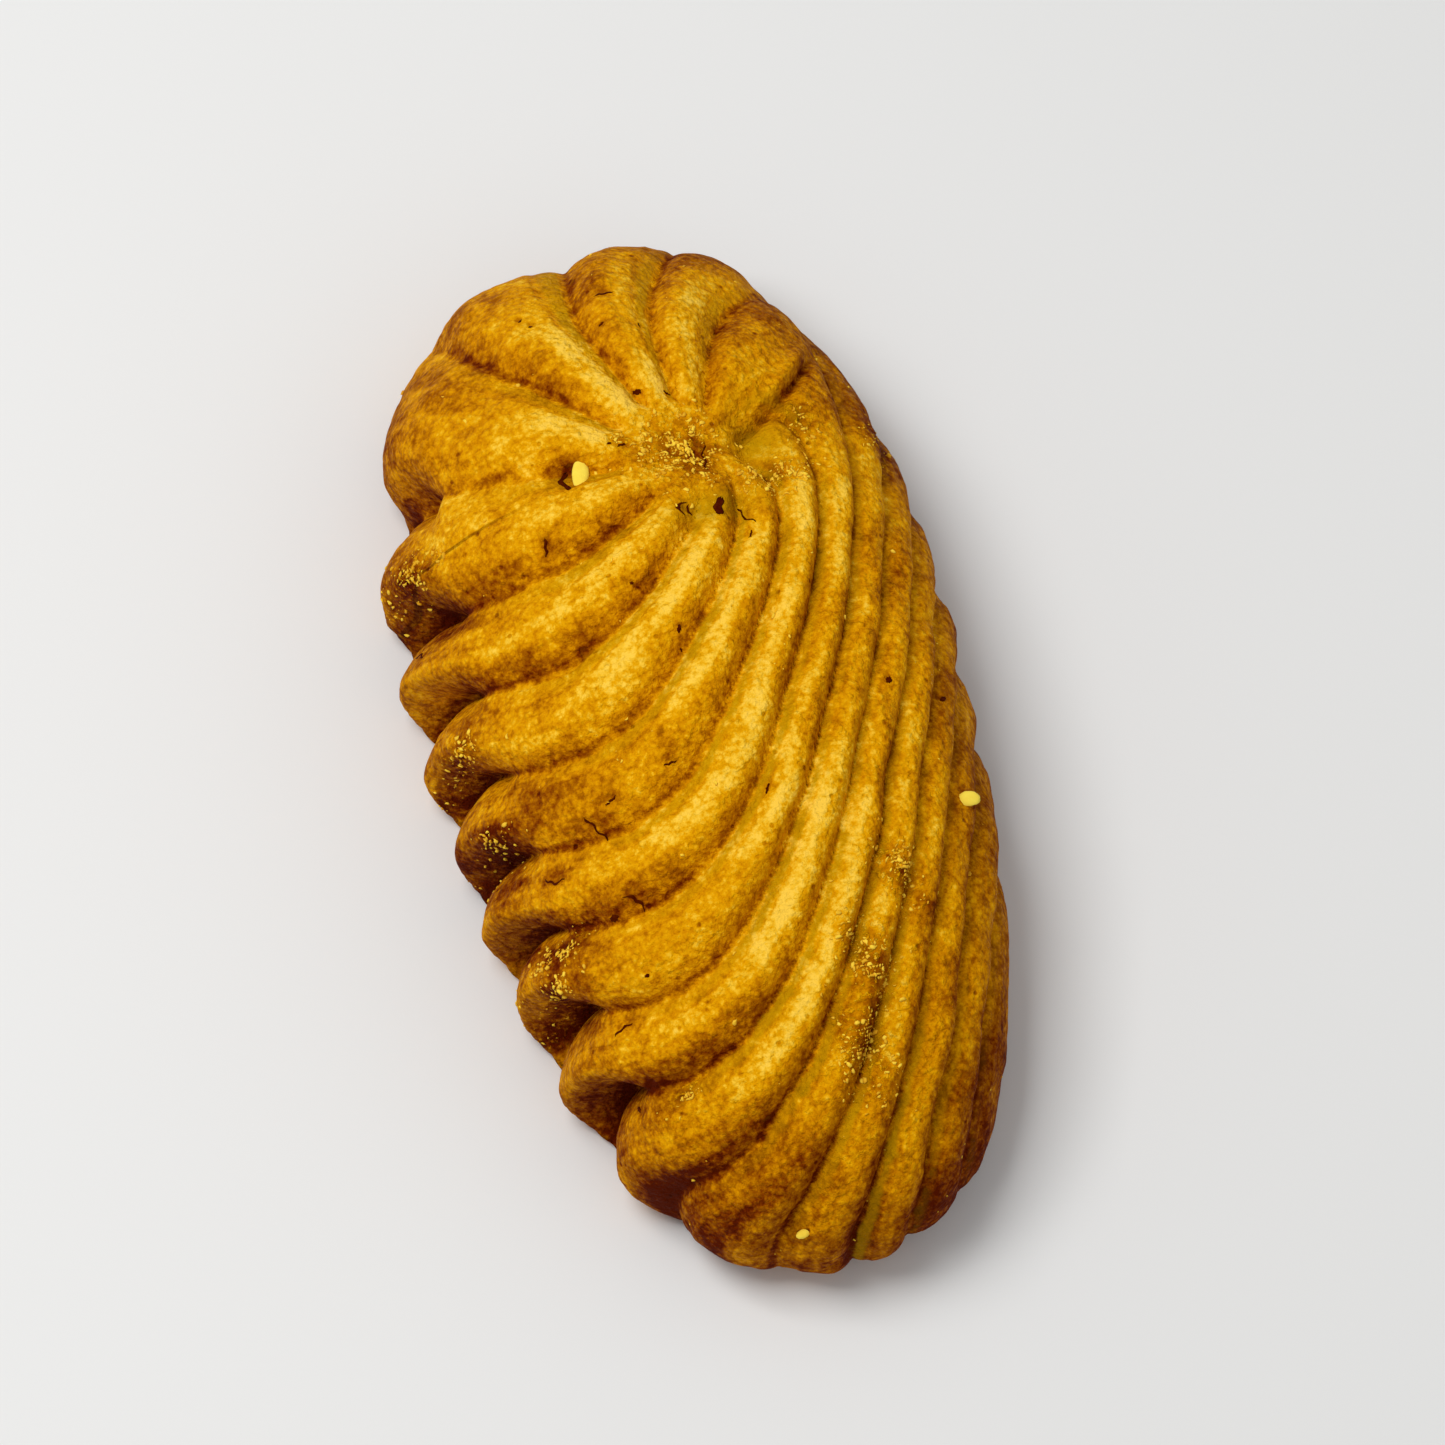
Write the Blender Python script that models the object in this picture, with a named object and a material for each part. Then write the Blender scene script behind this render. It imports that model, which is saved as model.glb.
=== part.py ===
"""One sweet tarallo: an oval biscuit piped through a star nozzle and baked.

The dough is one solid. It rests on its flat underside, with +Z up, +Y from the tail to the star end,
where the nozzle was pulled off, and the origin in the middle of the underside. Ridges leave the star,
sweep round the right side and over the crown, and end in tips along the left edge.
"""

import math

import bmesh
import bpy
import numpy as np

# Driving sizes in metres.
LENGTH = 0.0777
WIDTH = 0.0382
HEIGHT = 0.0225
FOOT_HEIGHT = 0.0042  # height of the widest line round the biscuit
UNDERSIDE_SHARE = 0.86  # the flat underside's size as a share of the outline

# The outline, seen from above.
STAR_END_POWER = 2.6  # 2 is half an ellipse, more is squarer
TAIL_POWER = 2.35
STAR_END_WIDER = 0.044  # share by which the star end is wider, and the tail narrower
BEND = 0.0031  # how far the star end lies to the right of the middle line, and the tail to the left
BOW = 0.0003  # how far both ends lie to the left of it
SIDE_SHIFT = 0.00038  # moves the outline left, so that the carved biscuit is centred
LEFT_SWELL = 0.0011  # how far the left side bulges near the star end
LEFT_SWELL_PLACE = 0.40  # from -1 at the tail to 1 at the star end
LEFT_SWELL_REACH = 0.30
CROWN_POWER = 0.92  # under 1 makes the crown broader than an ellipse

# The star, where the nozzle was pulled off and its teeth left ridges all round.
NOZZLE_TEETH = 10
STAR_PLACE = (0.00445, 0.01735)
STAR_DIP_DEPTH = 0.0012
STAR_DIP_RADIUS = 0.0050
PLAIN_PLACE = (0.0030, 0.0172)  # middle of the rough patch where the nozzle tore off
PLAIN_RADIUS = 0.0034  # inside this the patch has no ridges
FULL_RADIUS = 0.0058  # from here on the grooves have their full depth
HOLLOW_PLACE = (0.0088, 0.0169)  # the hollow to the right of the star
HOLLOW_REACH = (0.0017, 0.0024)
HOLLOW_DEPTH = 0.0012

# How the ridges drift away from the star, towards the tail and the right side.
PHASE_AT_STAR = 2.44
DRIFT_LENGTH = 0.00346  # distance downstream in which one more ridge is laid
DRIFT_SOFTNESS = 0.0083  # distance over which the drift sets in
DRIFT_SLANT = 0.605  # how far downstream turns from the tail towards the right side
DRIFT_SPREAD = 27.2  # how much faster it drifts away from the star's line, to either side, in 1/m
DRIFT_SHEAR = -8.0  # how the slant changes from the tail to the star end, in 1/m
ACROSS_DRIFT = 11.0  # in ridges per metre
ALONG_DRIFT = 83.9  # in ridges per metre
STAR_TWIST = -143.8  # the star's own teeth are spread unevenly, in ridges per metre
STAR_REACH = 0.0187
LEFT_RISE = 3740.0  # how the ridges level out on the left, in ridges per square metre
LEFT_RISE_START = 0.0093  # how far left of the star that sets in
LEFT_RISE_SOFTNESS = 0.0020  # distance over which it sets in

# The grooves between the ridges.
CROWN_GROOVE_DEPTH = 0.0012
RIM_GROOVE_DEPTH = 0.0009  # where they reach the rim
RIM_TOP = 0.6  # height, as a share of the whole, from which the grooves lose depth towards the rim
CALM_PLACE = (-0.0088, 0.0233)  # where the star's left ridges are smeared
CALM_RADIUS = 0.0080
CALM_SHARE = 0.35  # share of the grooves' depth that is lost there
EDGE_GROOVE_DEPTH = 0.0044  # between the ridge tips along the left edge
EDGE_GROOVE_STARTS = 0.83  # place across, from 0 at the middle line to 1 at the edge
NOTCHED_FROM = -0.88  # place along the edge, from -1 at the tail to 1 at the star end
NOTCHED_TO = 0.86
NOTCH_FADE = 0.30  # how gradually they begin and end
RIDGE_ROUNDNESS = 0.58  # under 1 makes broad ridges with narrow grooves between them
TIP_ROUNDNESS = 0.52  # the same for the tips on the left edge
RIGHT_ROUNDNESS = 0.44  # the same on the right side
RIGHT_SIDE_STARTS = 0.10  # place across, from 0 at the middle line to 1 at the right edge
RIGHT_SHARE_LOST = 0.32  # share of the grooves' depth that is lost on the right side
RIDGE_LEAN = 0.13  # how far the crests lean towards the tail, in ridges
GROOVE_SOFTNESS = 0.08  # rounds the bottom of each groove
FOOT_FADE = 0.25  # share of the foot's height over which the grooves run out downwards

# The mesh: carved finely, then thinned to faces that follow the ridges.
SEGMENTS = 150
RINGS = 210
UPPER_SEGMENT_SHARE = 0.80  # share of the segments that lie above the widest line
RING_EVENNESS = 0.12  # moves rings from the ends towards the middle
THINNED_SHARE = 0.155  # share of the faces that are kept
ENDMOST = 0.97  # nearer the ends than this share of the half-length, the place across isn't measured
UNDERSIDE_TOLERANCE = 0.00008  # points this near the underside are set onto it

# The finish.
CRUST_COLOUR = (0.52, 0.26, 0.05, 1.0)
CRUST_ROUGHNESS = 0.62


def remove_startup_objects():
    """Empty the scene that Blender starts with."""
    for startup_object in list(bpy.data.objects):
        bpy.data.objects.remove(startup_object, do_unlink=True)


def smooth_step(value, low, high):
    """Rise from 0 at low to 1 at high with level ends."""
    share = np.clip((value - low) / (high - low), 0.0, 1.0)
    return share * share * (3.0 - 2.0 * share)


def unit_sphere(name):
    """A UV sphere of radius 1 with its poles on the Y axis, as a mesh."""
    sphere = bmesh.new()
    bmesh.ops.create_uvsphere(sphere, u_segments=SEGMENTS, v_segments=RINGS, radius=1.0)
    turn = np.array(((0.0, 1.0, 0.0), (0.0, 0.0, 1.0), (1.0, 0.0, 0.0)))
    for vertex in sphere.verts:
        vertex.co = turn @ np.array(vertex.co)
    bmesh.ops.triangulate(sphere, faces=sphere.faces)
    mesh = bpy.data.meshes.new(name)
    sphere.to_mesh(mesh)
    sphere.free()
    return mesh


def read_places(mesh):
    """The mesh's vertex places as three arrays."""
    places = np.empty(len(mesh.vertices) * 3)
    mesh.vertices.foreach_get("co", places)
    return places.reshape(-1, 3).T


def write_places(mesh, across, along, up):
    """Set the mesh's vertex places from three arrays."""
    mesh.vertices.foreach_set("co", np.stack((across, along, up), axis=1).ravel())
    mesh.update()


def even_out(across, along, up):
    """Spend more of the sphere's segments above the widest line, and space its rings evenly."""
    pole_angle = np.arccos(np.clip(along, -1.0, 1.0))
    pole_angle = pole_angle + RING_EVENNESS * np.sin(2.0 * pole_angle)
    turn = np.mod(np.arctan2(up, -across), 2.0 * math.pi) / (2.0 * math.pi)
    upper = turn / UPPER_SEGMENT_SHARE * 0.5
    lower = 1.0 - (1.0 - turn) / (1.0 - UPPER_SEGMENT_SHARE) * 0.5
    angle = np.where(turn < UPPER_SEGMENT_SHARE, upper, lower) * 2.0 * math.pi
    ring_radius = np.sin(pole_angle)
    return -ring_radius * np.cos(angle), np.cos(pole_angle), ring_radius * np.sin(angle)


def half_width(along):
    """Half the outline's width at a place along the biscuit, from -1 at the tail to 1 at the star end."""
    power = np.where(along > 0.0, STAR_END_POWER, TAIL_POWER)
    egg = np.maximum(1.0 - np.abs(along) ** power, 0.0) ** (1.0 / power)
    return 0.5 * WIDTH * egg * (1.0 + STAR_END_WIDER * along)


def middle_line(along):
    """How far to the right the outline's middle line lies at a place along the biscuit."""
    return BEND * np.sin(0.5 * math.pi * along) - BOW * along ** 2 - SIDE_SHIFT


def left_swell(along, across_share):
    """How far the side bulges to the left: a bell curve along it, growing as the square of the place across."""
    bulge = LEFT_SWELL * np.exp(-((along - LEFT_SWELL_PLACE) / LEFT_SWELL_REACH) ** 2)
    return bulge * np.minimum(across_share, 0.0) ** 2


def loaf(across, along, up):
    """Reshape unit sphere points into the smooth loaf: an egg-shaped outline, a crown and a flat underside."""
    ring_radius = np.sqrt(np.maximum(1.0 - along ** 2, 1e-12))
    across_share = across / ring_radius
    x = middle_line(along) + half_width(along) * across_share - left_swell(along, across_share)
    y = 0.5 * LENGTH * along
    crown = FOOT_HEIGHT + (HEIGHT - FOOT_HEIGHT) * np.maximum(up, 0.0) ** CROWN_POWER
    share = np.hypot(across, along)
    past_underside = np.clip((share - UNDERSIDE_SHARE) / (1.0 - UNDERSIDE_SHARE), 0.0, 1.0)
    foot = FOOT_HEIGHT * (1.0 - np.sqrt(1.0 - past_underside ** 2))
    z = np.where(up >= 0.0, crown, foot)
    return x, y, z


def ridge_phase(x, y):
    """Count ridges: whole numbers lie in the grooves and halves on the crests."""
    across = x - STAR_PLACE[0]
    along = y - STAR_PLACE[1]
    turns = np.arctan2(along, across) / (2.0 * math.pi)
    downstream = -along + DRIFT_SLANT * across + DRIFT_SPREAD * across ** 2 + DRIFT_SHEAR * across * along
    softened = 0.5 * (downstream + np.hypot(downstream, DRIFT_SOFTNESS))
    drift = softened / DRIFT_LENGTH + ACROSS_DRIFT * across + ALONG_DRIFT * along
    near_star = np.exp(-(across ** 2 + along ** 2) / STAR_REACH ** 2)
    past_rise = -across - LEFT_RISE_START
    rise = LEFT_RISE * (0.5 * (past_rise + np.hypot(past_rise, LEFT_RISE_SOFTNESS))) ** 2
    return NOZZLE_TEETH * turns + PHASE_AT_STAR + drift + STAR_TWIST * near_star * across + rise


def side_shares(x, y):
    """How far a place belongs to the left edge and to the right side, each from 0 to 1, and its place along."""
    along = np.clip(y / (0.5 * LENGTH), -ENDMOST, ENDMOST)
    leftwards = (middle_line(along) - x) / half_width(along)
    left_edge = smooth_step(leftwards, EDGE_GROOVE_STARTS, 1.0)
    right_side = smooth_step(-leftwards, RIGHT_SIDE_STARTS, 1.0)
    return left_edge, right_side, along


def groove_depth(x, y, z):
    """Grooves are shallow on the crown, more so at the rim and on the right side, deep between the tips on the
    left edge, weaker where the ridges are smeared, and they fade into the star's rough patch."""
    rim = 1.0 - smooth_step(z, FOOT_HEIGHT, RIM_TOP * HEIGHT)
    depth = CROWN_GROOVE_DEPTH + (RIM_GROOVE_DEPTH - CROWN_GROOVE_DEPTH) * rim
    from_calm = np.hypot(x - CALM_PLACE[0], y - CALM_PLACE[1])
    depth = depth * (1.0 - CALM_SHARE * np.exp(-(from_calm / CALM_RADIUS) ** 2))
    left_edge, right_side, along = side_shares(x, y)
    depth = depth * (1.0 - RIGHT_SHARE_LOST * right_side)
    notched = smooth_step(along, NOTCHED_FROM, NOTCHED_FROM + NOTCH_FADE)
    notched = notched * smooth_step(-along, -NOTCHED_TO, NOTCH_FADE - NOTCHED_TO)
    depth = depth + (EDGE_GROOVE_DEPTH - depth) * left_edge * notched
    from_plain = np.hypot(x - PLAIN_PLACE[0], y - PLAIN_PLACE[1])
    return depth * smooth_step(from_plain, PLAIN_RADIUS, FULL_RADIUS)


def ridge_crest(phase, roundness):
    """The ridges' cross-section: 0 in the grooves, which are softened, and 1 on the broad crests, which lean."""
    leaning = phase - RIDGE_LEAN * np.sin(math.pi * phase) ** 2
    softened = (np.sin(math.pi * leaning) ** 2 + GROOVE_SOFTNESS ** 2) ** (0.5 * roundness)
    lowest = GROOVE_SOFTNESS ** roundness
    highest = (1.0 + GROOVE_SOFTNESS ** 2) ** (0.5 * roundness)
    return (softened - lowest) / (highest - lowest)


def star_depth(x, y):
    """How far the star's middle and the hollow beside it are sunk."""
    from_star = np.hypot(x - STAR_PLACE[0], y - STAR_PLACE[1])
    dip = STAR_DIP_DEPTH * np.exp(-(from_star / STAR_DIP_RADIUS) ** 2)
    away = ((x - HOLLOW_PLACE[0]) / HOLLOW_REACH[0]) ** 2 + ((y - HOLLOW_PLACE[1]) / HOLLOW_REACH[1]) ** 2
    return dip + HOLLOW_DEPTH * np.exp(-away)


def carve_ridges(mesh):
    """Lower the surface along its normals between the ridges, and sink the star."""
    x, y, z = read_places(mesh)
    normals = np.empty(len(mesh.vertices) * 3)
    mesh.vertices.foreach_get("normal", normals)
    normals = normals.reshape(-1, 3).T.copy()
    left_edge, right_side, along = side_shares(x, y)
    roundness = RIDGE_ROUNDNESS + (TIP_ROUNDNESS - RIDGE_ROUNDNESS) * left_edge
    roundness = roundness + (RIGHT_ROUNDNESS - RIDGE_ROUNDNESS) * right_side
    sunk = groove_depth(x, y, z) * (1.0 - ridge_crest(ridge_phase(x, y), roundness)) + star_depth(x, y)
    sunk = sunk * smooth_step(z, 0.0, FOOT_FADE * FOOT_HEIGHT)
    normals[2] = np.where(z < FOOT_HEIGHT, 0.0, normals[2])
    write_places(mesh, x - sunk * normals[0], y - sunk * normals[1], z - sunk * normals[2])


def thin_faces(biscuit):
    """Collapse short edges where the surface is nearly flat, and keep the result as the biscuit's own mesh."""
    thinning = biscuit.modifiers.new("thinning", "DECIMATE")
    thinning.ratio = THINNED_SHARE
    thinning.use_collapse_triangulate = True
    evaluated = biscuit.evaluated_get(bpy.context.evaluated_depsgraph_get())
    fine_mesh = biscuit.data
    biscuit.data = bpy.data.meshes.new_from_object(evaluated)
    biscuit.modifiers.remove(thinning)
    bpy.data.meshes.remove(fine_mesh)
    biscuit.data.name = "biscuit"


def rest_on_underside(mesh):
    """Put the middle of the biscuit's outline over the origin, and its underside flat at height 0."""
    x, y, z = read_places(mesh)
    z = z - z.min()
    z = np.where(z < UNDERSIDE_TOLERANCE, 0.0, z)
    write_places(mesh, x - 0.5 * (x.min() + x.max()), y - 0.5 * (y.min() + y.max()), z)


def baked_crust_material():
    """Golden-brown crust."""
    material = bpy.data.materials.new("baked_crust")
    material.use_nodes = True
    shader = material.node_tree.nodes["Principled BSDF"]
    shader.inputs["Base Color"].default_value = CRUST_COLOUR
    shader.inputs["Roughness"].default_value = CRUST_ROUGHNESS
    shader.inputs["Metallic"].default_value = 0.0
    material.diffuse_color = CRUST_COLOUR
    return material


def build_biscuit(collection):
    """Make the whole biscuit as one object."""
    mesh = unit_sphere("biscuit")
    write_places(mesh, *loaf(*even_out(*read_places(mesh))))
    carve_ridges(mesh)
    biscuit = bpy.data.objects.new("biscuit", mesh)
    collection.objects.link(biscuit)
    thin_faces(biscuit)
    rest_on_underside(biscuit.data)
    biscuit.data.shade_smooth()
    biscuit.data.materials.append(baked_crust_material())


def main():
    remove_startup_objects()
    collection = bpy.data.collections.new("sweet_tarallo")
    bpy.context.scene.collection.children.link(collection)
    build_biscuit(collection)


main()
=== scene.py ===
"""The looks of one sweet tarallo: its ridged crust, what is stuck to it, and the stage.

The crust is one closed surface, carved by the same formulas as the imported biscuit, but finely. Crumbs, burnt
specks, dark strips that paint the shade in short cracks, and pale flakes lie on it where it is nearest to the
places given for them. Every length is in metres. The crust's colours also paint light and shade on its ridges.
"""

import math

import bpy
import numpy as np
from bpy.props import FloatProperty, FloatVectorProperty, IntProperty, PointerProperty
from mathutils import Matrix, Vector


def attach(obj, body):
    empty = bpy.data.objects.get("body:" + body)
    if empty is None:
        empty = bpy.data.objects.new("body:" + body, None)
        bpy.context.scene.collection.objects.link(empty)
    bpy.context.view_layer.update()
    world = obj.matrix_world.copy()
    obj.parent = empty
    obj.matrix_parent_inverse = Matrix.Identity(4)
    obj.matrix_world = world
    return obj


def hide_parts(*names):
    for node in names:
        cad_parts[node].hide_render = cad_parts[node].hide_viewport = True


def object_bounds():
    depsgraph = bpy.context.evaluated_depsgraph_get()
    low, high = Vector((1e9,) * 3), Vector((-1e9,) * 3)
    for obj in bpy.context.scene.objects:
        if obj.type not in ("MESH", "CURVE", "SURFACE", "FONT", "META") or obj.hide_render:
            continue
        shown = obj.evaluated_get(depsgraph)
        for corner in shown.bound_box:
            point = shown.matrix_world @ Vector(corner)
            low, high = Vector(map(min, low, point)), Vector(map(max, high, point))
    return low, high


bl_info = {
    "name": "Sweet Tarallo",
    "version": (1, 0, 0),
    "blender": (4, 5, 0),
    "location": "View3D > Sidebar > Tarallo",
    "description": "Dresses a baked sweet tarallo and sets up its stage",
    "category": "Object",
}

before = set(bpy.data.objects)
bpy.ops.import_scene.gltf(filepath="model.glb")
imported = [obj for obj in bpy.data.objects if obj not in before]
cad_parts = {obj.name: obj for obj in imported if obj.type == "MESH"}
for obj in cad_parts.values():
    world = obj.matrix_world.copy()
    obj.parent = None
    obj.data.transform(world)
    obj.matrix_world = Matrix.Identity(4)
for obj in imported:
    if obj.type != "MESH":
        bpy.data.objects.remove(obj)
CAD_LOW, CAD_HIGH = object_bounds()
CAD_MIDDLE = (CAD_LOW + CAD_HIGH) / 2.0

BODY = "root"
NODE = "biscuit"

# The dough's grid.
RINGS = 384
SEGMENTS = 256
UPPER_SEGMENT_SHARE = 0.84  # share of the segments that lie above the widest line
RING_EVENNESS = 0.12  # moves rings from the ends towards the middle
ENDMOST = 0.97  # nearer the ends than this share of the half-length, the place across isn't measured

# The bands across each ridge, from 0 in one groove to 1 in the next, where they start and end. They paint
# light and shade across each ridge: olive colour, partly painted shade, in the valley beside a groove, a pale
# band on the crest that is a painted highlight, painted shade on the far flank, and a dark crease that is
# partly a baked line and partly painted shade.
VALLEY_BAND = (0.02, 0.07, 0.12, 0.28)
FLOURY_AND_LIT_BAND = (0.20, 0.30, 0.46, 0.66)
FLANK_BAND = (0.58, 0.92, 0.99, 1.00)
CREASE_STARTS = (0.89, 0.97)
CREASE_ENDS = (0.02, 0.06)
SHOULDER = (0.20, 0.29)

# The fold sets in and starts to fade at shares of its length. Its lip is measured in widths of its crease.
FOLD_SETS_IN = 0.10
FOLD_FADES_FROM = 0.70
LIP_PLACE = 2.2
LIP_REACH = math.sqrt(2.0)

# Where the crust is browner, as shares of the height, half-width and half-length. On the right side it is also
# darker from painted shade.
LOW_WALL_FROM = 0.10
LOW_WALL_TO = 0.82
LEFT_TIPS_FROM = 0.40
LEFT_SIDE_FROM = 0.0
RIGHT_SIDE_FROM = 0.15
TAIL_FROM = 0.40
WALL_CALM = 0.7  # share of the grooves' browning and painted shade that is lost low on the right side
FOLD_PAINTED_SHADE = 0.55  # the painted shade in the fold's crease, as a share of the pits' browning

# What the crust's colour and relief are summed from. Each noise has a size, a detail and a roughness.
CRUST_MEASURES = ("valley", "floury_and_lit", "flank", "crease", "wall", "right", "left", "tips", "tail", "crumbly",
                  "unbrowned_and_shaded", "pits")
CRUST_NOISES = {
    "patches": (0.0080, 2.0, 0.55),
    "mottle": (0.0019, 3.0, 0.60),
    "clots": (0.00090, 3.0, 0.65),
    "grain": (0.00042, 3.0, 0.60),
    "fine": (0.00017, 2.0, 0.55),
}
LOBE_SIZE = 0.00050
FRECKLE_SIZE = 0.0012
FRECKLED_SHARE = 0.30
FRECKLE_RADIUS = 0.20  # in cells
DOT_CORE = 0.3  # share of a dot's radius within which it is full

# Noise that runs along the ridges: how many features to a ridge, and how many from end to end.
STREAKS = (7.0, 22.0)
SMEARS = (1.3, 9.0)

# How far the crust is baked, from 0 for floury to 1 for scorched: the base, and what each term adds. The flank
# and crease terms also paint shade, the pale crest bands paint a highlight, and the right side and the pits
# are partly painted shade.
BASE_BAKE = 0.335
BAKE_AND_PAINTED_LIGHT_WEIGHTS = {
    "flank": 0.20,
    "ragged_creases": 0.14,
    "left_creases": 0.08,
    "floury_and_lit_bands": -0.15,
    "low_wall": 0.27,
    "tips": 0.07,
    "tip_ends": 0.07,
    "tail": 0.18,
    "right": 0.20,
    "pits": 0.30,
    "patches": 0.62,
    "smears": 0.62,
    "left_smears": 0.75,
    "left": 0.07,
    "between": 0.26,
    "mottle": 0.72,
    "clots": 0.50,
    "granules": -0.12,
    "fine": 0.30,
    "freckles": 0.26,
    "tip_streaks": 0.75,
    "crumbly": 0.32,
    "flecks": -0.36,
}
RAMP_STOPS = (0.0, 0.11, 0.24, 0.43, 0.64, 0.85, 1.0)

# What each term adds to the fine relief, in bump distances.
BUMP_DISTANCE = 0.00022
BUMP_WEIGHTS = {
    "grain": 0.95,
    "clots": 1.40,
    "mottle": 0.90,
    "between": -0.60,
    "fine": 0.25,
    "flecks": 0.60,
    "freckles": -0.40,
    "tip_streaks": -0.80,
}

# How ragged the bands' edges are, and between which values of band and raggedness each sets in.
RAGGED_WEIGHTS = {"mottle": 1.6, "clots": 1.2}
SMEARS_BREAK_BANDS = -1.6
CREASE_FADE = (0.30, 0.90)
FLOURY_AND_LIT_FADE = (0.34, 0.92)
VALLEY_FADE = (0.20, 1.00)
GRANULE_FADE = (-0.10, 0.10)
FLECK_FADE = (0.02, 0.12)
TIPS_SPARE_WALL = -0.60
# On the right side the crust is darker, partly from browning and partly from painted shade.
RIGHT_BROWNER_AND_SHADED = 0.85
LEFT_BROWNER = -0.70
PATCH_FADE = (-0.16, 0.12, 0.74, 0.42)  # patches of noise, and the strength of the olive bands of unbrowned dough and painted shade on them
HOLLOW_SHARE = 0.75  # how far the hollows take the olive colour of unbrowned dough and painted shade
DULL_FADE = (-0.2, 0.2)
DULL_RANGE = (-0.08, 0.10)  # how far the roughness varies over clots

# Random draws.
WANDER_SEED = 11
CRUMB_SEED = 23
SPECK_SEED = 37
FLAKE_SEED = 41
UNEVENNESS_SEED = 12
SWELL_SEED = 13
LUMP_SEED = 14
GRAIN_SEED = 15
CRUMBLY_SEED = 16
STRAY_SEED = 17
LATTICE_SIDE = 32
LATTICE_TURN = np.array(((0.36, 0.48, -0.80), (-0.80, 0.60, 0.0), (0.48, 0.64, 0.60)))
TINY = 1e-12  # keeps a length that is divided by from being 0

# Scraps that lie on the crust. Lumps move points by up to a share, and stands are in half-thicknesses.
UPPER_FROM = 0.25  # share of the height from which a point belongs to the upper surface
SEARCH_MARGIN = 0.001  # how far past a speck's ends the crust is searched
SCRAP_SPECULAR = 0.06
SCRAP_MOTTLING = 0.8
LOWEST_CRUMB = 0.0012
CLUMP_FADE = (-0.3, 0.4)
LOOSE_SHARE = 0.12  # how many crumbs lie outside the clumps
CRUMB_SMALLNESS = 2.5  # a power that makes most crumbs small
CRUMB_WIDTHS = (0.25, 0.70)  # in half-lengths, like the thicknesses and bends
CRUMB_THICKNESSES = (0.25, 0.60)
CRUMB_BENDS = (-0.8, 0.8)
UNBENT_AT = 0.3  # square of the place along a crumb that stays put when it is bent
CRUMB_LUMPS = 0.28
CRUMB_STAND = 0.35
CRUMB_SHADES = (-0.1, 0.75)
SPECK_LUMPS = 0.22
SPECK_WAVE = 0.12  # in half-lengths
SPECK_WAVE_RATE = 6.0  # in radians to a half-length
SPECK_SHADE = 0.1
FLAKE_LUMPS = 0.06
FLAKE_STAND = 0.8
FLAKE_SHADES = (0.0, 0.2)

# The stage. A light's direction is to the picture's right, its up and back to the camera.
LIGHT_PLACES = {"key": ((-0.45, 0.50, 1.0), 0.5), "fill": ((0.9, -0.3, 0.7), 0.6)}
LIGHT_SIZES = {"key": 0.26, "fill": 0.5}
FLOOR_COLOUR = (0.82, 0.82, 0.81)
FLOOR_ROUGHNESS = 0.75
FLOOR_SPECULAR = 0.2
SURROUND_COLOUR = (1.0, 1.0, 1.0)
CLIP_START = 0.01

# Groups of crumbs: place over the underside, spread across and along, and how many.
CRUMB_GROUPS = (
    ((0.0029, 0.0172), (0.0028, 0.0025), 330),
    ((0.0084, 0.0133), (0.0023, 0.0013), 150),
    ((-0.0008, 0.0196), (0.0007, 0.0005), 16),
    ((0.0125, 0.0172), (0.0008, 0.0014), 24),
    ((-0.0163, 0.0179), (0.0013, 0.0014), 110),
    ((-0.0184, 0.0040), (0.0010, 0.0008), 80),
    ((-0.0189, -0.0034), (0.0010, 0.0008), 90),
    ((-0.0176, -0.0129), (0.0014, 0.0009), 100),
    ((-0.0192, -0.0150), (0.0010, 0.0006), 70),
    ((0.0053, -0.0174), (0.0012, 0.0020), 120),
    ((0.0010, -0.0230), (0.0015, 0.0028), 210),
    ((-0.0014, -0.0282), (0.0016, 0.0026), 170),
    ((0.0181, 0.0155), (0.0012, 0.0020), 30),
    ((-0.0139, -0.0262), (0.0011, 0.0003), 26),
    ((0.0, 0.0), (0.0300, 0.0500), 120),
)

# Where the crust takes the olive colour of unbrowned dough and painted shade: places over the underside and
# reach across and along.
UNBROWNED_AND_SHADED_PLACES = (
    ((0.0090, 0.0167), (0.0020, 0.0019)),
    ((0.0032, 0.0118), (0.0030, 0.0013)),
)
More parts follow.
